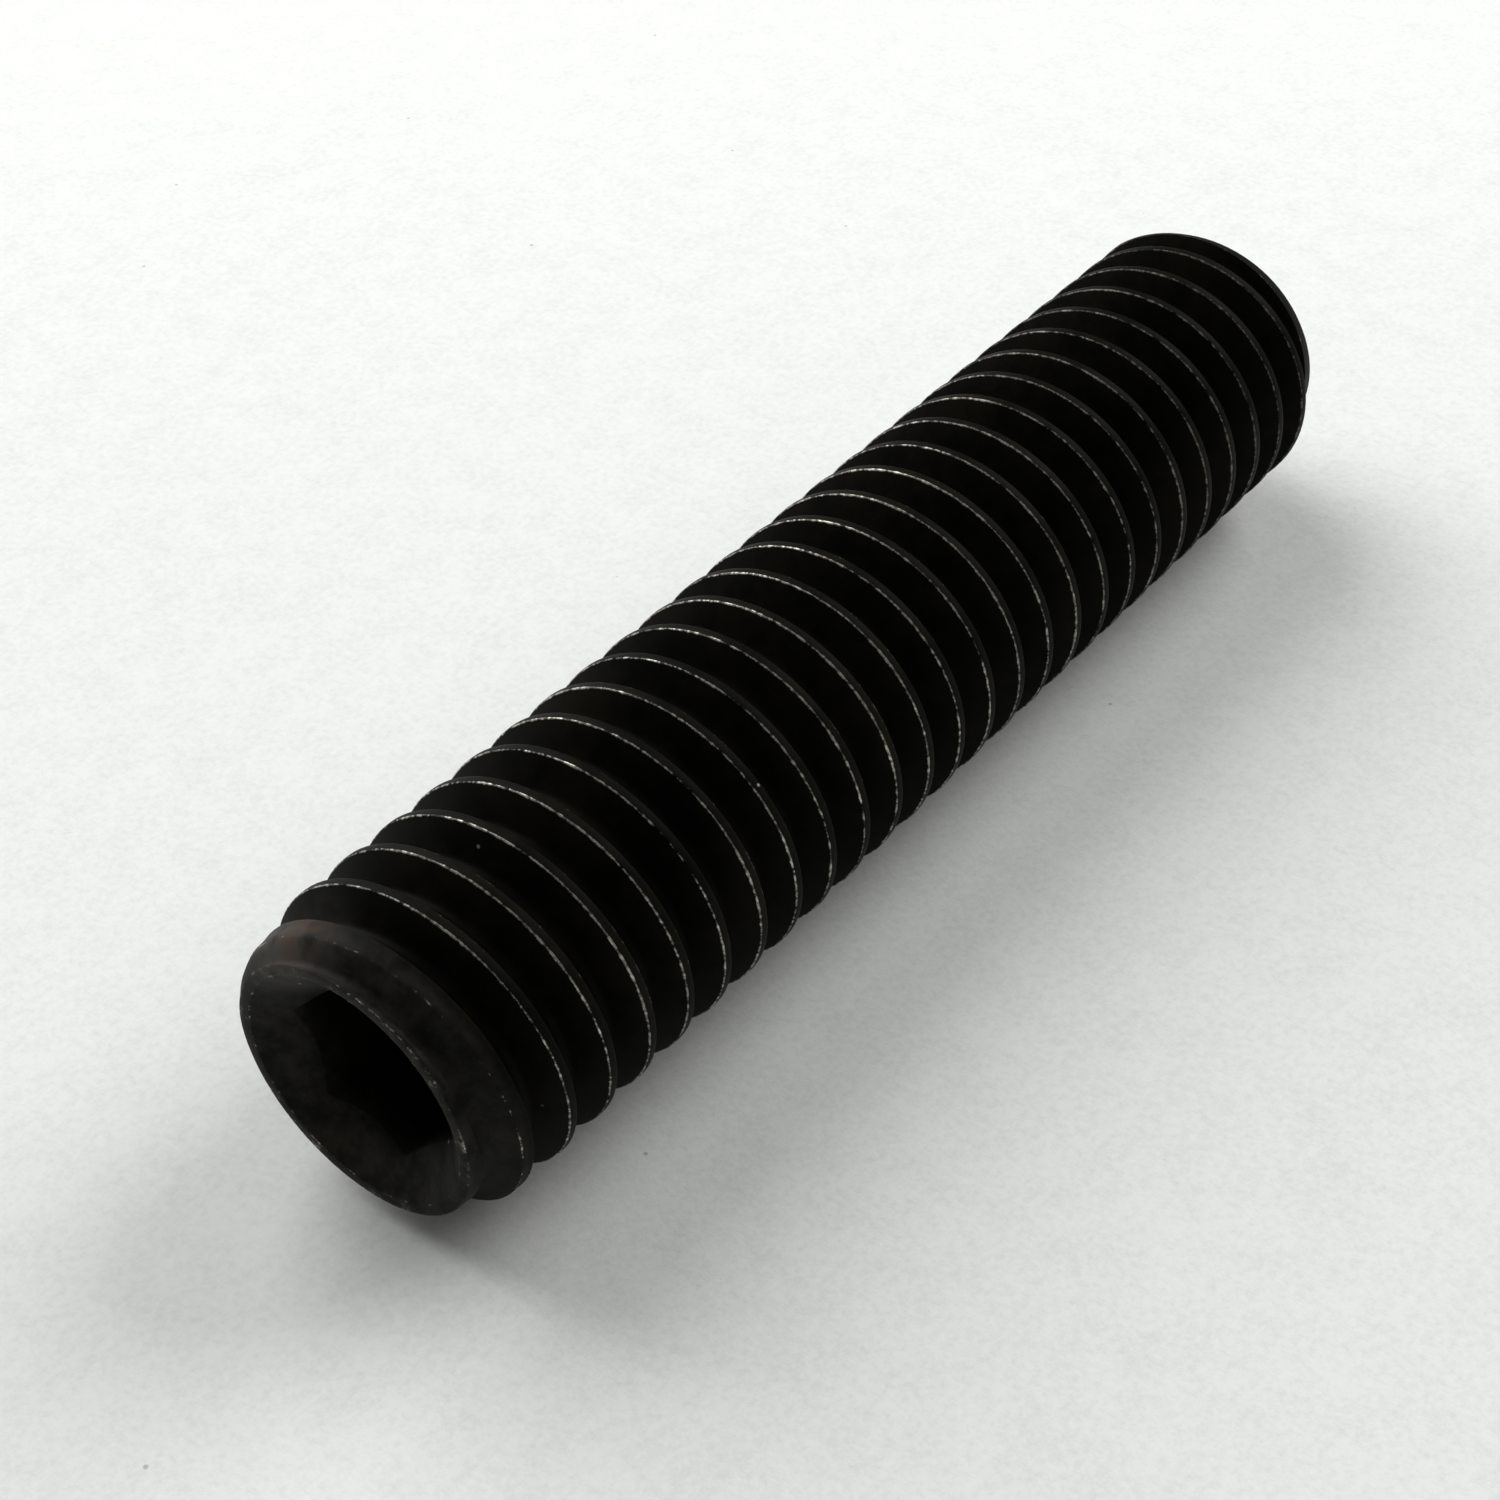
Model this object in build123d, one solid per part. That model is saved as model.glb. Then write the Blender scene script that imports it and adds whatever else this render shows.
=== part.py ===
from build123d import *
import os
from math import radians, sqrt, tan

# Headless socket stud for a 3/8-16 UNC right-hand thread, point down and socket up.
# The thread itself is left out: the shank is plain, at the diameter of the thread's crests.
# Origin: centre of the point face. +Z runs up the axis to the socket. All sizes in mm.

# Overall
LENGTH = 44.45
CREST_DIAMETER = 9.40

# Point end: a flat with a straight chamfer out to the crests
POINT_FLAT_DIAMETER = 4.70
POINT_CHAMFER_ANGLE = 45.0

# Socket end: the crests fall to the flat rim along an arc
RIM_DROP = 0.70
RIM_WIDTH = 0.43
END_ROUND_LENGTH = 2.40
RIM_DIAMETER = CREST_DIAMETER - 2 * RIM_DROP

# Hexagon socket, with a countersunk mouth and a conical floor
COUNTERSINK_DIAMETER = RIM_DIAMETER - 2 * RIM_WIDTH
COUNTERSINK_ANGLE = 100.0
HEX_ACROSS_FLATS = 4.7625
HEX_DEPTH = 5.00
SOCKET_FLOOR_ANGLE = 120.0


def turned_blank():
    """The turned outline, before the socket is cut."""
    crest = CREST_DIAMETER / 2
    rim = RIM_DIAMETER / 2
    flat = POINT_FLAT_DIAMETER / 2
    chamfer_top = (crest - flat) / tan(radians(POINT_CHAMFER_ANGLE))
    round_start = LENGTH - END_ROUND_LENGTH
    with BuildPart() as blank:
        with BuildSketch(Plane.XZ):
            with BuildLine():
                Polyline((0, LENGTH), (0, 0), (flat, 0), (crest, chamfer_top), (crest, round_start))
                TangentArc((crest, round_start), (rim, LENGTH), tangent=(0, 1))
                Line((rim, LENGTH), (0, LENGTH))
            make_face()
        revolve(axis=Axis.Z)
    return blank.part


def socket():
    """The space of the hexagon socket, with its conical floor and its countersink."""
    corner = HEX_ACROSS_FLATS / sqrt(3)
    rim = COUNTERSINK_DIAMETER / 2
    cone_depth = rim / tan(radians(COUNTERSINK_ANGLE / 2))
    floor_rim = LENGTH - HEX_DEPTH
    floor_tip = floor_rim - corner / tan(radians(SOCKET_FLOOR_ANGLE / 2))
    hexagon = extrude(Plane.XY.offset(floor_tip) * RegularPolygon(corner, 6), LENGTH - floor_tip)
    with BuildPart() as core:
        with BuildSketch(Plane.XZ):
            Polygon((0, floor_tip), (corner, floor_rim), (corner, LENGTH), (0, LENGTH), align=None)
        revolve(axis=Axis.Z)
    countersink = Pos(0, 0, LENGTH - cone_depth / 2) * Cone(0, rim, cone_depth)
    return (hexagon & core.part) + countersink


stud = turned_blank() - socket()

os.makedirs("parts", exist_ok=True)
export_step(stud, "parts/stud.step")
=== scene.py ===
import math

import bmesh
import bpy
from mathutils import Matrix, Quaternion, Vector


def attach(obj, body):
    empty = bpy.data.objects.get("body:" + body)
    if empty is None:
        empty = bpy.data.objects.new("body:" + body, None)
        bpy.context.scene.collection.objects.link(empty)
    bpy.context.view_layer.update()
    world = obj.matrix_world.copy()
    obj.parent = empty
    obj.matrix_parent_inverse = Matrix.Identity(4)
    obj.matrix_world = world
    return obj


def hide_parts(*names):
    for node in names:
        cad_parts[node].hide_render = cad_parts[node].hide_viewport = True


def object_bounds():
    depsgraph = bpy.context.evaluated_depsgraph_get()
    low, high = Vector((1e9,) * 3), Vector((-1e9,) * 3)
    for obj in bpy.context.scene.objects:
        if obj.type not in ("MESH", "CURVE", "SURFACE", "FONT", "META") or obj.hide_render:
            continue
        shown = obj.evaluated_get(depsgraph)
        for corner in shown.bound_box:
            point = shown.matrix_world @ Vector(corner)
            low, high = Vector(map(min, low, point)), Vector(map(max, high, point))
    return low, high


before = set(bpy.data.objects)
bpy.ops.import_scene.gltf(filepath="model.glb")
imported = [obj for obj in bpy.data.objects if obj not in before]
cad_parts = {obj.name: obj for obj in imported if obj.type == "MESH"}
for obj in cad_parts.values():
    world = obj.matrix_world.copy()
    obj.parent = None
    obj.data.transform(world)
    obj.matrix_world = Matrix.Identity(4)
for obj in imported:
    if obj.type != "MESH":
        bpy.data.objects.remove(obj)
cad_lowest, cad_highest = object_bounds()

MM = 0.001
FULL_TURN = 2 * math.pi

# ---- The stud's sizes, in metres. Its length and its width over the crests come from the frame.

LENGTH = cad_highest.z
CREST = min(cad_highest.x, cad_highest.y, -cad_lowest.x, -cad_lowest.y)
PITCH = 25.4 / 16 * MM
PITCH_RADIUS = 4.245 * MM
FLANK_SLOPE = math.tan(math.radians(30))
ROOT_ROUND = 0.23 * MM
CREST_ROUND = 0.05 * MM
GROOVE_START = math.radians(-23.4)

POINT_FLAT = 2.35 * MM
END_ROUND = 2.40 * MM
RIM_OUTER = 4.00 * MM
RIM_EDGE = 0.16 * MM
COUNTERSINK = 3.57 * MM
COUNTERSINK_SLOPE = math.tan(math.radians(50))
LIP_ROUND = 0.08 * MM
HEX_FLAT = 4.7625 / 2 * MM
HEX_DEPTH = 5.0 * MM
HEX_FLOOR_DROP = 1.2 * MM

# The flanks would meet at this radius, if the groove's bottom weren't rounded.
SHARP_ROOT = PITCH_RADIUS - PITCH / 4 / FLANK_SLOPE
ROOT = SHARP_ROOT + ROOT_ROUND

# Half the width of the crest's flat.
CREST_HALF = PITCH / 4 - (CREST - PITCH_RADIUS) * FLANK_SLOPE

STEPS_A_TURN = 96
SHARP_ANGLE = 35
FAR_EDGE_WEAR = 0.35


# ---- The stud's shape

def ridge_profile():
    """Half of one ridge, as (radius, offset from the ridge's middle, wear), from the crest to the groove."""
    points = [
        (CREST, 0.0, 0.15),
        (CREST, CREST_HALF - CREST_ROUND * 0.9, 0.1),
        (CREST - CREST_ROUND * 0.1, CREST_HALF - CREST_ROUND * 0.3, 1.0),
        (CREST - CREST_ROUND * 0.45, CREST_HALF + CREST_ROUND * 0.12, 1.0),
    ]
    root_centre = SHARP_ROOT + 2 * ROOT_ROUND
    flank_end = root_centre - ROOT_ROUND / 2
    for share in (0.08, 0.4, 0.7, 1.0):
        radius = CREST + (flank_end - CREST) * share
        points.append((radius, CREST_HALF + (CREST - radius) * FLANK_SLOPE, 0.0))
    for degrees in (40, 20, 0):
        angle = math.radians(degrees)
        offset = PITCH / 2 - ROOT_ROUND * math.sin(angle)
        points.append((root_centre - ROOT_ROUND * math.cos(angle), offset, 0.0))
    return points


def end_limit(z):
    """How far out the point's 45 degree chamfer and the rounded end let the stud reach at a height."""
    point = POINT_FLAT + max(z, 0.0)
    sag = CREST - RIM_OUTER
    sweep = (END_ROUND ** 2 + sag ** 2) / (2 * sag)
    rise = min(max(z - (LENGTH - END_ROUND), 0.0), END_ROUND * 1.2)
    rounded = CREST - sweep + math.sqrt(sweep ** 2 - rise ** 2)
    return min(point, rounded, CREST)


def seat_on_ends(vert, layer):
    """Sinks a ridge where it runs out into a shaped end, and hollows its unfilled crest."""
    x, y, z = vert.co
    radius, turn = math.hypot(x, y), math.atan2(y, x)
    ridge = (turn - GROOVE_START) / FULL_TURN * PITCH + PITCH / 2
    offset = (z - ridge + PITCH / 2) % PITCH - PITCH / 2
    top = end_limit(z - offset)
    missing = CREST - top
    if missing > 0:
        vert[layer] *= max(1 - missing / (0.25 * MM), 0.45)
    if missing > 0 and top > ROOT:
        height = (radius - ROOT) / (CREST - ROOT)
        lowered = ROOT + height * (top - ROOT)
        wide = abs(offset)
        if wide < CREST_HALF:
            share = wide / CREST_HALF
            moved = share * (CREST_HALF + missing * FLANK_SLOPE)
            lowered -= min(0.5 * missing, 0.07 * MM) * (1 - share ** 2)
        else:
            moved = min(wide + (radius - lowered) * FLANK_SLOPE, PITCH / 2)
        z += math.copysign(moved, offset) - offset
        radius = lowered
    radius = min(radius, end_limit(z))
    vert.co = (radius * math.cos(turn), radius * math.sin(turn), z)


def boundary_loop(bm, height):
    """The open edges at a height."""
    return [e for e in bm.edges if e.is_boundary and all(abs(v.co.z - height) < 1e-7 for v in e.verts)]


def next_ring(bm, loop, wear, place):
    """Extrudes an open loop and puts each new vertex at the radius and height that place(angle, old radius) gives."""
    layer = bm.verts.layers.float["wear"]
    grown = bmesh.ops.extrude_edge_only(bm, edges=loop)["geom"]
    for vert in [g for g in grown if isinstance(g, bmesh.types.BMVert)]:
        turn = math.atan2(vert.co.y, vert.co.x)
        radius, height = place(turn, math.hypot(vert.co.x, vert.co.y))
        vert.co = (radius * math.cos(turn), radius * math.sin(turn), height)
        vert[layer] = wear
    return [g for g in grown if isinstance(g, bmesh.types.BMEdge) and g.is_boundary]


def hex_radius(turn, flat):
    """The distance from the axis to a hexagon's side, with corners on the X axis."""
    sixth = math.pi / 3
    return flat / math.cos((turn % sixth) - sixth / 2)


def close_loop(bm, loop, height):
    """Draws an open loop in to a small ring and caps it."""
    ring = next_ring(bm, loop, 0.0, lambda turn, radius: (0.5 * MM, height))
    bmesh.ops.holes_fill(bm, edges=ring, sides=0)


def rim_rings(bm, loop):
    """The rim: its outer edge, where the groove fades out, its flat and its inner lip."""
    for share, wear in ((0.35, 0.1), (0.7, 0.48), (1.0, 0.3)):
        bend = share * math.pi / 2
        height = LENGTH - RIM_EDGE * (1 - math.sin(bend))
        reach = RIM_OUTER - RIM_EDGE * (1.1 - math.cos(bend))
        loop = next_ring(bm, loop, wear, lambda turn, radius: (radius + (reach - radius) * share, height))
    for share, wear in ((0.0, 0.2), (0.34, 0.46), (0.67, 0.38), (1.0, 0.05)):
        bend = share * math.radians(60)
        radius_here = COUNTERSINK + LIP_ROUND * (0.6 - math.sin(bend))
        height_here = LENGTH - LIP_ROUND * (1 - math.cos(bend))
        loop = next_ring(bm, loop, wear, lambda turn, radius: (radius_here, height_here))
    return loop


def socket_walls(bm, loop):
    """The countersink, the hexagon's sides and its conical floor."""
    cone_start = COUNTERSINK - 0.05 * MM
    edge = 0.03 * MM

    def on_cone(radius):
        return LENGTH - (COUNTERSINK - radius) / COUNTERSINK_SLOPE

    def along_cone(share):
        def place(turn, radius):
            reach = cone_start + (hex_radius(turn, HEX_FLAT + edge) - cone_start) * share
            return reach, on_cone(reach)
        return place

    def below_edge(turn, radius):
        inner = hex_radius(turn, HEX_FLAT)
        return inner, on_cone(inner) - edge

    for share in (0.3, 0.65, 1.0):
        loop = next_ring(bm, loop, 0.0, along_cone(share))
    loop = next_ring(bm, loop, 0.0, below_edge)
    for depth in (3.0 * MM, HEX_DEPTH):
        loop = next_ring(bm, loop, 0.0, lambda turn, radius: (radius, LENGTH - depth))
    close_loop(bm, loop, LENGTH - HEX_DEPTH - HEX_FLOOR_DROP)


def wind_thread(bm):
    """Winds the ridge's profile once round the axis, then stacks copies of that turn."""
    half = ridge_profile()
    whole = [(radius, -offset, wear * FAR_EDGE_WEAR) for radius, offset, wear in reversed(half)] + half[1:]
    layer = bm.verts.layers.float["wear"]
    verts = []
    for radius, offset, wear in whole:
        spot = (radius * math.cos(GROOVE_START), radius * math.sin(GROOVE_START), offset - 2.5 * PITCH)
        verts.append(bm.verts.new(spot))
        verts[-1][layer] = wear
    edges = [bm.edges.new(pair) for pair in zip(verts, verts[1:])]
    bmesh.ops.spin(
        bm, geom=verts + edges, cent=(0, 0, 0), axis=(0, 0, 1), dvec=(0, 0, PITCH / STEPS_A_TURN),
        angle=FULL_TURN, steps=STEPS_A_TURN, use_merge=False, use_duplicate=False,
    )
    turns = 1
    while turns * PITCH < LENGTH + 5 * PITCH:
        copied = bmesh.ops.duplicate(bm, geom=bm.verts[:] + bm.edges[:] + bm.faces[:])["geom"]
        copies = [g for g in copied if isinstance(g, bmesh.types.BMVert)]
        bmesh.ops.translate(bm, verts=copies, vec=(0, 0, turns * PITCH))
        turns *= 2
    bmesh.ops.remove_doubles(bm, verts=bm.verts, dist=1e-6)
    spare = [v for v in bm.verts if v.co.z > LENGTH + 2 * PITCH]
    bmesh.ops.delete(bm, geom=spare, context="VERTS")


def trim(bm, height, keep_below):
    """Cuts away what lies past a height."""
    everything = bm.verts[:] + bm.edges[:] + bm.faces[:]
    bmesh.ops.bisect_plane(
        bm, geom=everything, dist=1e-9, plane_co=(0, 0, height), plane_no=(0, 0, 1),
        clear_outer=keep_below, clear_inner=not keep_below,
    )


def mark_sharp(bm):
    """Smooths the faces, and keeps the shading apart where they meet at a sharp angle."""
    for edge in bm.edges:
        edge.smooth = not (len(edge.link_faces) == 2 and edge.calc_face_angle(0) > math.radians(SHARP_ANGLE))
    for face in bm.faces:
        face.smooth = True


def stud_mesh():
    bm = bmesh.new()
    layer = bm.verts.layers.float.new("wear")
    wind_thread(bm)
    for vert in bm.verts:
        seat_on_ends(vert, layer)
    rim_base = LENGTH - RIM_EDGE
    trim(bm, rim_base, keep_below=True)
    trim(bm, 0.0, keep_below=False)
    socket_walls(bm, rim_rings(bm, boundary_loop(bm, rim_base)))
    close_loop(bm, boundary_loop(bm, 0.0), 0.0)
    bmesh.ops.recalc_face_normals(bm, faces=bm.faces)
    mark_sharp(bm)
    mesh = bpy.data.meshes.new("threaded_stud")
    bm.to_mesh(mesh)
    bm.free()
    return mesh


def add_object(name, mesh, material):
    thing = bpy.data.objects.new(name, mesh)
    bpy.context.scene.collection.objects.link(thing)
    mesh.materials.append(material)
    return thing


# ---- Shader maths

class Link:
    """A node's output, with the arithmetic that a shader needs."""

    def __init__(self, tree, socket):
        self.tree, self.socket = tree, socket

    def add(self, kind, settings=None, **inputs):
        """Adds a node: its settings first, then its inputs by name, or by number as in_0, in_1."""
        node = self.tree.nodes.new(kind)
        for name, value in (settings or {}).items():
            setattr(node, name, value)
        for name, value in inputs.items():
            key = int(name[3:]) if name.startswith("in_") else name.replace("_", " ")
            socket = node.inputs[key]
            if isinstance(value, Link):
                self.tree.links.new(value.socket, socket)
            else:
                socket.default_value = value
        return node

    def out(self, node, name=0):
        return Link(self.tree, node.outputs[name])

    def math(self, operation, *values):
        sources = {f"in_{i}": value for i, value in enumerate(values)}
        return self.out(self.add("ShaderNodeMath", {"operation": operation}, **sources))

    def __add__(self, other):
        return self.math("ADD", self, other)

    def __radd__(self, other):
        return self.math("ADD", other, self)

    def __sub__(self, other):
        return self.math("SUBTRACT", self, other)

    def __rsub__(self, other):
        return self.math("SUBTRACT", other, self)

    def __mul__(self, other):
        return self.math("MULTIPLY", self, other)

    def __rmul__(self, other):
        return self.math("MULTIPLY", other, self)

    def __truediv__(self, other):
        return self.math("DIVIDE", self, other)

    def __rtruediv__(self, other):
        return self.math("DIVIDE", other, self)

    def between(self, low, high):
        """0 at low, 1 at high, smooth between and clamped outside."""
        settings = {"interpolation_type": "SMOOTHSTEP"}
        node = self.add("ShaderNodeMapRange", settings, Value=self, From_Min=low, From_Max=high)
        return self.out(node, "Result")

    def mix(self, first, second):
        """A colour between two colours, by this value."""
        node = self.add("ShaderNodeMix", {"data_type": "RGBA"}, in_0=self, in_6=first, in_7=second)
        return self.out(node, 2)


def noise(point, scale, detail=3.0, roughness=0.5):
    node = point.add("ShaderNodeTexNoise", Vector=point, Scale=scale, Detail=detail, Roughness=roughness)
    return point.out(node, "Fac")


def specks(point, scale, size, share):
    """Small round dots, in some of the cells of a random grid."""
    node = point.add("ShaderNodeTexVoronoi", Vector=point, Scale=scale)
    dot = point.out(node, "Distance").between(size, size * 0.5)
    parts = point.add("ShaderNodeSeparateColor", Color=point.out(node, "Color"))
    return dot * point.out(parts, 0).between(1 - share, 1 - share + 0.01)


def near(point, centre, reach):
    """1 at a spot on the piece, fading to 0 at its reach. The sizes are in millimetres."""
    gap = point.add("ShaderNodeVectorMath", {"operation": "DISTANCE"}, in_0=point, in_1=centre)
    return point.out(gap, "Value").between(reach, 0.0)


def on_surface(radius, degrees, height):
    """A spot's coordinates in millimetres, from its radius, angle and height."""
    turn = math.radians(degrees)
    return (radius * math.cos(turn), radius * math.sin(turn), height)


def new_material(name):
    material = bpy.data.materials.new(name)
    material.use_nodes = True
    tree = material.node_tree
    shader = tree.nodes["Principled BSDF"]
    return material, tree, shader


BLACK = (0.0028, 0.0027, 0.0022, 1)
BLACK_BROWN = (0.0080, 0.0070, 0.0038, 1)
BARE_STEEL = (0.58, 0.555, 0.495, 1)
RUST_AND_SHEEN = (0.085, 0.042, 0.024, 1)
PAINTED_SHEEN_GREY = (0.22, 0.21, 0.195, 1)
PAPER = (0.93, 0.945, 0.92, 1)
PAPER_DARK = (0.80, 0.815, 0.79, 1)
PAPER_SPECK = (0.25, 0.24, 0.22, 1)


def black_oxide_steel():
    """Black oxide, matt and faintly brown, rubbed through to bright steel along the thread's crests, with a painted
    sheen round the socket end.
    """
    material, tree, shader = new_material("black_oxide_steel")
    start = Link(tree, None)
    coordinates = start.out(start.add("ShaderNodeTexCoord"), "Object")
    point = start.out(start.add("ShaderNodeVectorMath", {"operation": "SCALE"}, in_0=coordinates, Scale=1000.0), 0)
    edge = start.out(start.add("ShaderNodeAttribute", {"attribute_name": "wear"}), "Fac")

    patches = noise(point, 0.35, 2.0)
    streaks = noise(point, 1.6, 4.0, 0.65)
    grit = noise(point, 6.0, 3.0, 0.7)

    # Rubbed edges come and go along the thread, and break up into grains.
    spared = 0.52 - (patches - 0.5) * 1.0 - (streaks - 0.5) * 1.5
    rubbed = (edge - spared + (grit - 0.5) * 1.8).between(0.0, 0.7) * edge.between(0.1, 0.5)
    along = start.out(start.add("ShaderNodeSeparateXYZ", Vector=point), "Z")
    handled = along.between(2.0, 26.0) * 0.72 + 0.28
    sparkle = (grit.between(0.40, 0.68) * 0.7 + 0.3) * handled
    flecks = specks(point, 0.8, 0.05, 0.2)
    bare = start.math("MAXIMUM", rubbed * sparkle, flecks * 0.5)

    # Painted sheen: the oxide is painted lighter round the socket as a band and a spot, beside a rust-brown patch
    # that is partly painted sheen.
    top = LENGTH / MM
    sheen_breakup = noise(point, 1.1, 2.0)
    painted_sheen_band = along.between(top - 1.9, top - 0.3) * (streaks.between(0.3, 0.7) * 0.06 + 0.03)
    painted_sheen_spot = near(point, on_surface(4.2, -42, top - 0.2), 2.6) * sheen_breakup.between(0.2, 0.6) * 0.26
    # A rust-brown tint that is partly a painted sheen.
    rust_and_sheen_spot = near(point, on_surface(4.4, -50, top - 0.7), 1.5) * sheen_breakup.between(0.25, 0.6) * 0.45

    tone = (patches * 0.5 + streaks * 0.5).between(0.38, 0.66)
    colour = tone.mix(BLACK, BLACK_BROWN)
    # Painted sheen: the band and the spot are painted light grey over the oxide.
    colour = (painted_sheen_band + painted_sheen_spot).mix(colour, PAINTED_SHEEN_GREY)
    # Rust-brown tint, partly painted sheen.
    colour = rust_and_sheen_spot.mix(colour, RUST_AND_SHEEN)
    colour = bare.mix(colour, BARE_STEEL)
    links = tree.links
    links.new(colour.socket, shader.inputs["Base Color"])
    links.new(bare.socket, shader.inputs["Metallic"])
    rough = 0.50 + (streaks - 0.5) * 0.2 - bare * 0.12
    links.new(rough.socket, shader.inputs["Roughness"])
    shader.inputs["Specular IOR Level"].default_value = 0.03
    height = streaks * 0.5 + grit * 0.5
    bump = start.add("ShaderNodeBump", Strength=0.18, Distance=0.00002, Height=height)
    links.new(bump.outputs["Normal"], shader.inputs["Normal"])
    return material


def pale_paper():
    """Matt paper with a fine grain. Its back is clear, so that the stud is seen from all round."""
    material, tree, shader = new_material("pale_paper")
    start = Link(tree, None)
    coordinates = start.out(start.add("ShaderNodeTexCoord"), "Object")
    point = start.out(start.add("ShaderNodeVectorMath", {"operation": "SCALE"}, in_0=coordinates, Scale=1000.0), 0)
    grain = noise(point, 4.0, 4.0, 0.75)
    shade = (0.68 + (grain - 0.5) * 1.6 + (noise(point, 0.7, 3.0) - 0.5) * 0.6).between(0.0, 1.0)
    dirt = specks(point, 0.55, 0.05, 0.16)
    colour = (dirt * 0.5).mix(shade.mix(PAPER_DARK, PAPER), PAPER_SPECK)
    tree.links.new(colour.socket, shader.inputs["Base Color"])
    shader.inputs["Roughness"].default_value = 0.9
    shader.inputs["Specular IOR Level"].default_value = 0.1
    bump = start.add("ShaderNodeBump", Strength=0.25, Distance=0.00005, Height=grain)
    tree.links.new(bump.outputs["Normal"], shader.inputs["Normal"])
    clear = start.out(start.add("ShaderNodeBsdfTransparent"))
    behind = start.out(start.add("ShaderNodeNewGeometry"), "Backfacing")
    mixed = start.add("ShaderNodeMixShader", in_0=behind, in_1=Link(tree, shader.outputs[0]), in_2=clear)
    tree.links.new(mixed.outputs[0], tree.nodes["Material Output"].inputs["Surface"])
    return material


# ---- Sheet, lights and camera

# The sheet stands along the stud, just clear of its crests. Away and left are directions along the sheet.
SHEET_TURN = math.radians(12.5)
SHEET_UP = Vector((math.sin(SHEET_TURN), -math.cos(SHEET_TURN), 0))
SHEET_AWAY = Vector((0.591, 0.131, -0.796))
SHEET_LEFT = Vector((0.777, 0.172, 0.605))


LAMP_DISTANCE = 0.40


def pale_sheet():
    bm = bmesh.new()
    bmesh.ops.create_grid(bm, x_segments=1, y_segments=1, size=0.6)
    bm.transform(SHEET_UP.to_track_quat("Z", "Y").to_matrix().to_4x4())
    bmesh.ops.translate(bm, verts=bm.verts, vec=-SHEET_UP * CREST * 1.004)
    mesh = bpy.data.meshes.new("pale_sheet")
    bm.to_mesh(mesh)
    bm.free()
    add_object("pale_sheet", mesh, pale_paper())


def lamp(name, direction, width, watts):
    """A round soft lamp that looks at the stud's middle."""
    data = bpy.data.lights.new(name, "AREA")
    data.shape = "DISK"
    data.size = width
    data.energy = watts
    thing = bpy.data.objects.new(name, data)
    bpy.context.scene.collection.objects.link(thing)
    direction = direction.normalized()
    thing.location = Vector((0, 0, LENGTH / 2)) + direction * LAMP_DISTANCE
    thing.rotation_mode = "QUATERNION"
    thing.rotation_quaternion = direction.to_track_quat("Z", "Y")


def lights():
    lamp("window_left", SHEET_UP * 0.62 + (SHEET_LEFT + SHEET_AWAY) * 0.56, 0.42, 1.65)
    lamp("window_right", SHEET_UP * 0.62 - SHEET_LEFT * 0.65 + SHEET_AWAY * 0.44, 0.30, 0.95)
    lamp("back_fill", -SHEET_UP + SHEET_LEFT * 0.4, 0.30, 2.2)
    world = bpy.data.worlds.new("room")
    bpy.context.scene.world = world
    world.use_nodes = True
    tree = world.node_tree
    start = Link(tree, None)
    seen = start.out(start.add("ShaderNodeLightPath"), "Is Camera Ray")
    background = tree.nodes["Background"]
    tree.links.new(seen.mix((0.145, 0.148, 0.143, 1), (0.9, 0.91, 0.9, 1)).socket, background.inputs["Color"])
    background.inputs["Strength"].default_value = 1.0


def camera():
    data = bpy.data.cameras.new("camera")
    data.sensor_width = 36
    data.lens = 61.8
    data.clip_start, data.clip_end = 0.001, 10
    thing = bpy.data.objects.new("camera", data)
    bpy.context.scene.collection.objects.link(thing)
    aim = Vector((-0.10, 0.04, 28.10)) * MM
    distance = 74.23 * MM
    azimuth, elevation, roll = math.radians(-21.73), math.radians(36.49), math.radians(-131.15)
    level = math.cos(elevation)
    back = Vector((math.sin(azimuth) * level, -math.cos(azimuth) * level, math.sin(elevation)))
    thing.location = aim + back * distance
    thing.rotation_mode = "QUATERNION"
    thing.rotation_quaternion = back.to_track_quat("Z", "Y") @ Quaternion((0, 0, 1), roll)
    bpy.context.scene.camera = thing


stud = add_object("threaded_stud", stud_mesh(), black_oxide_steel())
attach(stud, "root")
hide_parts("stud")
pale_sheet()
lights()
camera()
bpy.context.scene.view_settings.view_transform = "Standard"
